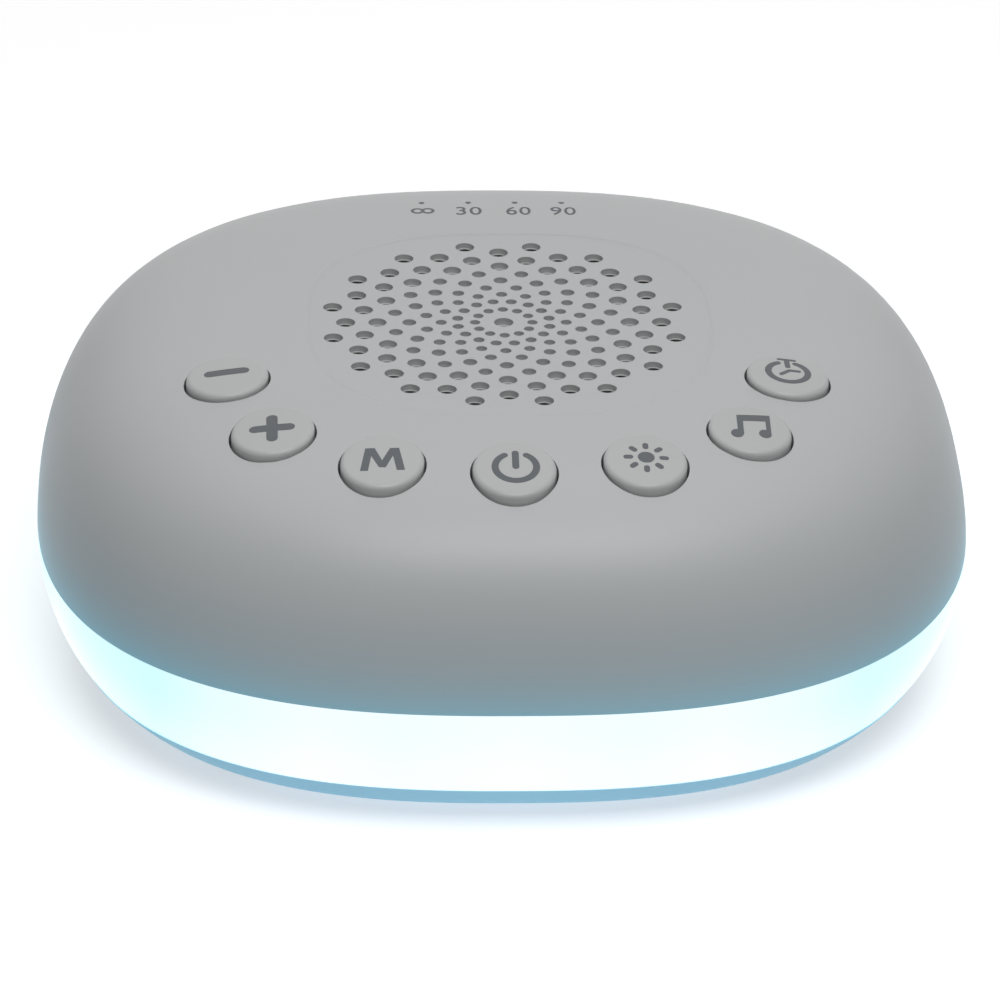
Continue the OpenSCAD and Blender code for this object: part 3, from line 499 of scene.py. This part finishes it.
def isColumn(edge, onto, look, high):  # an edge that spans a column of the outer skin
    start, end = (vert.co for vert in edge.verts)
    outward = any(face.normal.xy.dot(start.xy) > look["outward"] * start.xy.length
                  for face in edge.link_faces)
    return (outward and min(shareOf(co, high, look) for co in (start, end)) > look["inside"]
            and min(start.z, end.z) > look["low"]
            and max((onto(co, high, look) - co).length for co in (start, end)) < look["close"]
            and start.xy.angle(end.xy, 0) > look["turn"])


def makeSkin(name, source, slot, onto, look, high):
    mesh, bm = weldedCopy(nodes[source].data, name)
    columns = [edge for edge in bm.edges if isColumn(edge, onto, look, high)]
    made = bmesh.ops.subdivide_edges(bm, edges=columns, cuts=look["cuts"], use_grid_fill=True)
    fresh = [part for part in made["geom_inner"] if isinstance(part, bmesh.types.BMVert)]
    for vert in fresh:
        vert.co = onto(vert.co, high, look)
    bmesh.ops.triangulate(bm, faces=bm.faces)
    bm.normal_update()
    bm.to_mesh(mesh)
    bm.free()
    smoothFaces(mesh)
    piece = addPiece(name, mesh, "housing", finishes[slot])
    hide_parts(source)
    print(name, "skin made,", len(fresh), "new corners,", len(mesh.polygons), "triangles")
    return mesh


def bendNormals(mesh, look, high):  # corners on the dome take the dome's own slope
    normals = [Vector(corner.vector) for corner in mesh.corner_normals]
    onDome = 0
    for polygon in mesh.polygons:
        for corner in polygon.loop_indices:
            spot = mesh.vertices[mesh.loops[corner].vertex_index].co
            off, way = domeSlope(spot, high, look)
            if abs(off) < look["reach"] * mm and polygon.normal.dot(way) > look["facing"]:
                normals[corner] = way
                onDome += 1
    mesh.normals_split_custom_set(normals)
    print("shell smoothed,", onDome, "corners on the dome")


skinLook = {"seam": 18.6 * mm, "squareness": 2.54, "inside": 0.8, "outward": 0.1,
            "close": 0.01 * mm, "turn": math.radians(1), "cuts": 2}
domeLook = {**skinLook, "flat": 7, "roundness": 1.66, "tries": 4, "low": 18.5 * mm,
            "reach": 0.12, "facing": 0.95}
bellyLook = {**skinLook, "bellyR": 22 * mm, "step": 0, "low": 5.5 * mm}
trayLook = {**bellyLook, "step": 0.15 * mm, "low": 1.9 * mm}
crown = Vector((60, 57, 44.2)) * mm  # half the width, half the depth and the dome's full height
shell = makeSkin("shell", "top_shell", "shell_plastic", ontoDome, domeLook, crown)
bendNormals(shell, domeLook, crown)
makeSkin("band", "light_band", "band_plastic", ontoBelly, bellyLook, crown)
makeSkin("tray", "base", "base_plastic", ontoBelly, trayLook, crown)


# keys: a turned top, leaned to the dome, takes the place of each one's facetted top

def turnCap(look, apex, foot, lean):  # a closed lid with a bulging face and a rounded rim
    radius, edge, bulge = look["radius"] * mm, look["edge"] * mm, look["bulge"] * mm
    start = radius - edge
    profile = []
    for share in (0, 0.25, 0.5, 0.75):
        out = start * share
        profile.append((out, -bulge * (out / radius) ** 2))
    for turn in range(0, 91, 9):  # degrees round the rim
        angle = math.radians(turn)
        profile.append((start + edge * math.sin(angle),
                        -bulge * (start / radius) ** 2 - edge * (1 - math.cos(angle))))
    bm = bmesh.new()
    line = [bm.verts.new((out, 0, apex + drop)) for out, drop in profile]
    line += [bm.verts.new((radius, 0, foot)), bm.verts.new((0, 0, foot))]
    edges = [bm.edges.new(pair) for pair in zip(line, line[1:])]
    bmesh.ops.spin(bm, geom=line + edges, cent=(0, 0, 0), axis=(0, 0, 1),
                   angle=math.radians(360), steps=look["steps"], use_merge=True,
                   use_duplicate=False)
    bmesh.ops.remove_doubles(bm, verts=bm.verts, dist=weldGap)
    for vert in bm.verts:
        if vert.co.z > foot + 0.01 * mm:  # the foot itself stays level
            vert.co.z += lean.x * vert.co.x + lean.y * vert.co.y
    return bm


def makeKey(name, look, high):
    solid = nodes[name + "_key"].data
    low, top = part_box(name + "_key")
    centre = Vector(((low.x + top.x) / 2, (low.y + top.y) / 2, 0))
    apex = heightOf(faceTree(solid), centre)
    under = ontoDome(centre + Vector((0, 0, apex - look["proud"] * mm)), high, domeLook)
    way = domeSlope(under, high, domeLook)[1]
    lean = Vector((-way.x / way.z, -way.y / way.z))
    drop = (look["bulge"] + look["edge"] + look["sunk"]) * mm
    foot = apex - look["radius"] * mm * lean.length - drop
    lid = turnCap(look, apex, foot, lean)
    bmesh.ops.translate(lid, verts=lid.verts, vec=centre)
    turned = bpy.data.meshes.new("lid")
    lid.to_mesh(turned)
    lid.free()
    # the key's own lower part, closed where its top comes off, and the lid over it
    mesh, bm = weldedCopy(solid, name + "_cap")
    bmesh.ops.holes_fill(bm, edges=cutAlong(bm, (0, 0, foot), (0, 0, 1), clearOuter=True))
    bm.from_mesh(turned)
    bpy.data.meshes.remove(turned)
    bmesh.ops.recalc_face_normals(bm, faces=bm.faces)
    bmesh.ops.triangulate(bm, faces=bm.faces)
    bm.to_mesh(mesh)
    bm.free()
    smoothFaces(mesh)
    piece = addPiece(name + "_cap", mesh, name, finishes["key_plastic"])
    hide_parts(name + "_key")


keyLook = {"radius": 5.2, "edge": 0.62, "bulge": 0.2, "proud": 0.9, "sunk": 0.15, "steps": 72}
for name in ("volume_down", "volume_up", "mode", "power", "light", "sound", "timer"):
    makeKey(name, keyLook, crown)
print("keys made")


# printed marks, drawn flat in millimetres and laid on their faces

def stroke(bm, start, end, width):  # a bar with round ends
    halfSegment = Matrix.Rotation(math.radians(9), 4, "Z")
    made = bmesh.ops.create_circle(bm, cap_ends=True, radius=width / 2, segments=20,
                                   matrix=halfSegment)["verts"]
    start, end = Vector((*start, 0)), Vector((*end, 0))
    along = end - start
    for vert in made:
        vert.co.x += math.copysign(along.length / 2, vert.co.x)
    turn = Matrix.Rotation(math.atan2(along.y, along.x), 3, "Z")
    bmesh.ops.rotate(bm, verts=made, cent=(0, 0, 0), matrix=turn)
    bmesh.ops.translate(bm, verts=made, vec=(start + end) / 2)


def disc(bm, centre, halfX, halfY):
    made = bmesh.ops.create_circle(bm, cap_ends=True, radius=1, segments=28)["verts"]
    bmesh.ops.scale(bm, verts=made, vec=(halfX, halfY, 1))
    bmesh.ops.translate(bm, verts=made, vec=(*centre, 0))


def patch(bm, outline):
    bm.faces.new([bm.verts.new((x, y, 0)) for x, y in outline])


def loop(bm, centre, halfX, halfY, width):  # a closed oval line
    rims = []
    for inset in (0, width):
        made = bmesh.ops.create_circle(bm, cap_ends=False, radius=1, segments=36)["verts"]
        bmesh.ops.scale(bm, verts=made, vec=(halfX - inset, halfY - inset, 1))
        bmesh.ops.translate(bm, verts=made, vec=(*centre, 0))
        rims += {edge for vert in made for edge in vert.link_edges}
    bmesh.ops.bridge_loops(bm, edges=rims)


def arc(bm, look):  # part of a ring, with round tips
    centre, radius, width = look["centre"], look["radius"], look["width"]
    inner, outer = (bm.verts.new((radius + side * width / 2, 0, 0)) for side in (-1, 1))
    edge = bm.edges.new((inner, outer))
    start = Matrix.Rotation(math.radians(look["first"]), 3, "Z")
    bmesh.ops.rotate(bm, verts=[inner, outer], cent=(0, 0, 0), matrix=start)
    before = set(bm.verts) - {inner, outer}
    bmesh.ops.spin(bm, geom=[inner, outer, edge], cent=(0, 0, 0), axis=(0, 0, 1),
                   angle=math.radians(look["last"] - look["first"]), steps=36, use_merge=False,
                   use_duplicate=False)
    bmesh.ops.translate(bm, verts=[v for v in bm.verts if v not in before], vec=(*centre, 0))
    for turn in (look["first"], look["last"]):
        tip = (centre[0] + radius * math.cos(math.radians(turn)),
               centre[1] + radius * math.sin(math.radians(turn)))
        disc(bm, tip, width / 2, width / 2)


def drawMinus(bm, look):
    stroke(bm, look["left"], look["right"], look["width"])


def drawPlus(bm, look):
    x, y = look["centre"]
    reach = look["reach"]
    stroke(bm, (x - reach, y), (x + reach, y), look["width"])
    stroke(bm, (x, y - reach), (x, y + reach), look["width"])


def drawLetter(bm, look):
    patch(bm, look["outline"])


def drawPower(bm, look):
    arc(bm, look)
    x = look["centre"][0]
    stroke(bm, (x, look["foot"]), (x, look["tip"]), look["width"])


def drawLight(bm, look):
    middle = Vector(look["centre"])
    disc(bm, look["centre"], look["radius"], look["radius"])
    for turn in range(look["rays"]):
        angle = turn * 2 * math.pi / look["rays"]
        way = Vector((math.cos(angle), math.sin(angle)))
        stroke(bm, middle + way * look["rayStart"], middle + way * look["rayEnd"],
               look["rayWidth"])


def drawSound(bm, look):
    for outline in [look["beam"], *look["stems"]]:
        patch(bm, outline)
    for centre in look["heads"]:
        disc(bm, centre, look["headX"], look["headY"])


def drawTimer(bm, look):
    arc(bm, look)
    for start, end, width in look["strokes"]:
        stroke(bm, start, end, width)


def drawEndless(bm, look):
    x, y = look["centre"]
    for side in (-1, 1):
        loop(bm, (x + side * look["halfX"], y), look["halfX"] + look["width"] / 2,
             look["halfY"], look["width"])


def drawNumber(bm, look):  # generic figures, fitted to the width and height given
    curve = bpy.data.curves.new("figures", "FONT")
    curve.body = look["figures"]
    curve.offset = look["weight"]
    curve.space_character = look["spacing"]
    curve.resolution_u = 6
    written = bpy.data.objects.new("figures", curve)
    scene.collection.objects.link(written)
    bpy.context.view_layer.update()
    shaped = written.evaluated_get(bpy.context.evaluated_depsgraph_get())
    flat = bpy.data.meshes.new_from_object(shaped)
    bpy.data.objects.remove(written)
    bm.from_mesh(flat)
    bpy.data.meshes.remove(flat)
    low = Vector(min(v.co[i] for v in bm.verts) for i in range(2))
    high = Vector(max(v.co[i] for v in bm.verts) for i in range(2))
    growX = (look["right"] - look["left"]) / (high.x - low.x)
    growY = (look["top"] - look["foot"]) / (high.y - low.y)
    bmesh.ops.translate(bm, verts=bm.verts, vec=(-low.x, -low.y, 0))
    bmesh.ops.scale(bm, verts=bm.verts, vec=(growX, growY, 1))
    bmesh.ops.translate(bm, verts=bm.verts, vec=(look["left"], look["foot"], 0))


def stackShapes(bm, lift):  # each shape of a mark lies a hair above the one before it
    seen = set()
    level = 0
    for vert in bm.verts:
        if vert in seen:
            continue
        shape = [vert]
        seen.add(vert)
        for near in shape:
            near.co.z = level * lift
            for edge in near.link_edges:
                other = edge.other_vert(near)
                if other not in seen:
                    seen.add(other)
                    shape.append(other)
        level += 1


def cutSmall(bm, size):  # so that the print follows its curved face
    for way in (Vector((1, 0, 0)), Vector((0, 1, 0))):
        reach = [vert.co.dot(way) for vert in bm.verts]
        step = math.ceil(min(reach) / size)
        while step * size < max(reach):
            cutAlong(bm, way * step * size, way)
            step += 1


inkLook = {"proud": 0.02, "sunk": 0.05, "cut": 0.5, "lift": 0.003}


def printMark(name, draw, look, body, carrier, centre):
    bm = bmesh.new()
    draw(bm, look)
    stackShapes(bm, inkLook["lift"])
    bmesh.ops.scale(bm, verts=bm.verts, vec=(mm, mm, mm))
    bmesh.ops.translate(bm, verts=bm.verts, vec=(centre.x, centre.y, 0))
    cutSmall(bm, inkLook["cut"] * mm)
    bmesh.ops.triangulate(bm, faces=bm.faces)
    under = set(bm.verts)
    bmesh.ops.extrude_face_region(bm, geom=bm.faces[:])
    face = faceTree(scene.objects[carrier].data)
    for vert in bm.verts:
        stand = -inkLook["sunk"] if vert in under else inkLook["proud"]
        vert.co.z += heightOf(face, vert.co) + stand * mm
    bmesh.ops.recalc_face_normals(bm, faces=bm.faces)
    mesh = bpy.data.meshes.new(name)
    bm.to_mesh(mesh)
    bm.free()
    addPiece(name, mesh, body, inkFinish)


keyMarks = {
    "volume_down": (drawMinus, {"left": (-2.19, 0.30), "right": (2.04, 0.64), "width": 1.5}),
    "volume_up": (drawPlus, {"centre": (-0.11, 0.05), "reach": 2.14, "width": 1.44}),
    "mode": (drawLetter, {"outline": [
        (-2.80, -2.11), (-1.81, -2.18), (-1.37, 0.61), (-0.45, -1.62), (0.38, -1.68),
        (1.32, 0.55), (1.73, -2.25), (2.75, -2.24), (2.10, 2.05), (0.99, 2.03), (-0.04, -0.33),
        (-0.92, 2.16), (-2.08, 2.20)]}),
    "power": (drawPower, {"centre": (0.15, -0.05), "radius": 2.56, "width": 0.88, "first": 122,
                          "last": 418, "foot": -0.05, "tip": 2.53}),
    "light": (drawLight, {"centre": (0.09, 0.19), "radius": 1.05, "rays": 8, "rayStart": 1.98,
                          "rayEnd": 2.46, "rayWidth": 0.74}),
    "sound": (drawSound, {
        "beam": [(-1.60, 1.20), (2.60, 1.68), (2.60, 3.08), (-1.60, 2.57)],
        "stems": [[(-1.60, -1.6), (-0.84, -1.6), (-0.84, 1.6), (-1.60, 1.6)],
                  [(2.0, -1.2), (2.60, -1.2), (2.60, 2.0), (2.0, 2.0)]],
        "heads": [(-1.70, -1.50), (1.83, -1.15)], "headX": 0.80, "headY": 0.86}),
    "timer": (drawTimer, {
        "centre": (0.05, 0.35), "radius": 2.52, "width": 0.85, "first": 118, "last": 424,
        "strokes": [((-0.93, 3.66), (1.03, 3.55), 0.5), ((0.05, 3.4), (0.09, 1.7), 0.7),
                    ((0.25, 0.69), (1.45, 0.66), 0.55), ((0.25, 0.69), (-0.86, -0.36), 0.55)]}),
}
for name, (draw, look) in keyMarks.items():
    low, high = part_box(name + "_key")
    printMark(name + "_mark", draw, look, name, name + "_cap", (low + high) / 2)

figureLook = {"foot": 31.7, "top": 34.5, "weight": 0.006, "spacing": 1.08}
timeMarks = {
    "endless_mark": (drawEndless, {"centre": (-9.61, 33.15), "halfX": 0.69, "halfY": 1.0,
                                   "width": 0.42}),
    "thirty_mark": (drawNumber, {**figureLook, "figures": "30", "left": -5.17, "right": -1.79}),
    "sixty_mark": (drawNumber, {**figureLook, "figures": "60", "left": 1.45, "right": 4.71}),
    "ninety_mark": (drawNumber, {**figureLook, "figures": "90", "left": 7.34, "right": 10.69}),
}
for name, (draw, look) in timeMarks.items():
    printMark(name, draw, look, "housing", "shell", Vector((0, 0, 0)))
print("marks printed,", len(keyMarks) + len(timeMarks))


# light, floor and camera

def addLight(name, look):
    light = bpy.data.lights.new(name, "AREA")
    light.shape = "RECTANGLE"
    light.size, light.size_y = look["size"]
    light.energy = look["energy"]
    lamp = bpy.data.objects.new(name, light)
    scene.collection.objects.link(lamp)
    lamp.location = look["at"]
    lamp.rotation_mode = "QUATERNION"
    lamp.rotation_quaternion = (Vector(look["aim"]) - lamp.location).to_track_quat("-Z", "Y")


addLight("overhead softbox", {"at": (0.05, 0.05, 0.8), "aim": (0, 0, 0.03), "size": (1.2, 1.0),
                              "energy": 2.75})
addLight("front softbox", {"at": (0.06, -0.376, 0.73), "aim": (0, 0, 0.03),
                           "size": (0.55, 0.35), "energy": 2.75})


def seenDirectly(finish):  # camera, mirror and glass rays
    camera, mirror, glass = (finish.node("ShaderNodeLightPath", output=name) for name in
                             ("Is Camera Ray", "Is Glossy Ray", "Is Transmission Ray"))
    return (camera + mirror + glass).to("MINIMUM", 1.0)


def makeWorld(look):
    scene.world = bpy.data.worlds.new("studio")
    finish = Finish(scene.world)
    strength = seenDirectly(finish) * (look["seen"] - look["light"]) + look["light"]
    glow = finish.node("ShaderNodeBackground", None,
                       {"Color": (1, 1, 1, 1), "Strength": strength})
    finish.node("ShaderNodeOutputWorld", None, {"Surface": glow})


def makeFloor(look):
    bm = bmesh.new()
    bmesh.ops.create_grid(bm, x_segments=look["squares"], y_segments=look["squares"],
                          size=look["reach"])
    mesh = bpy.data.meshes.new("floor")
    bm.to_mesh(mesh)
    bm.free()
    floor = bpy.data.objects.new("floor", mesh)
    scene.collection.objects.link(floor)
    finish = newFinish("paper floor")
    seen = seenDirectly(finish)
    colour = finish.mix(seen, look["bounced"], look["seen"])
    lift = finish.mix(seen, (0, 0, 0), look["lift"])
    mesh.materials.append(finish.surface(Base_Color=colour, Roughness=1.0,
                                         Specular_IOR_Level=0.0, Emission_Color=lift,
                                         Emission_Strength=1.0))


makeWorld({"seen": 1.0, "light": 0.205})
makeFloor({"reach": 3.0, "squares": 8, "bounced": (0.17, 0.17, 0.17),
           "seen": (0.70, 0.78, 0.86), "lift": (0.51, 0.45, 0.40)})


def makeCamera(look):
    data = bpy.data.cameras.new("camera")
    data.lens = look["lens"]
    data.sensor_width = look["sensor"]
    data.clip_start, data.clip_end = look["clip"]
    camera = bpy.data.objects.new("camera", data)
    scene.collection.objects.link(camera)
    turn, rise = math.radians(look["azimuth"]), math.radians(look["elevation"])
    back = Vector((math.sin(turn) * math.cos(rise), -math.cos(turn) * math.cos(rise),
                   math.sin(rise)))
    camera.location = Vector(look["aim"]) * mm + back * look["distance"] * mm
    camera.rotation_mode = "QUATERNION"
    roll = Quaternion((0, 0, 1), math.radians(look["roll"]))
    camera.rotation_quaternion = (-back).to_track_quat("-Z", "Y") @ roll
    scene.camera = camera


makeCamera({"aim": (-0.525, -10.858, 23.922), "distance": 867.532, "azimuth": -2.412,
            "elevation": 28.193, "roll": 1.021, "lens": 243.66, "sensor": 36,
            "clip": (0.01, 20)})
scene.view_settings.view_transform = "Standard"
print("light, floor and camera set")
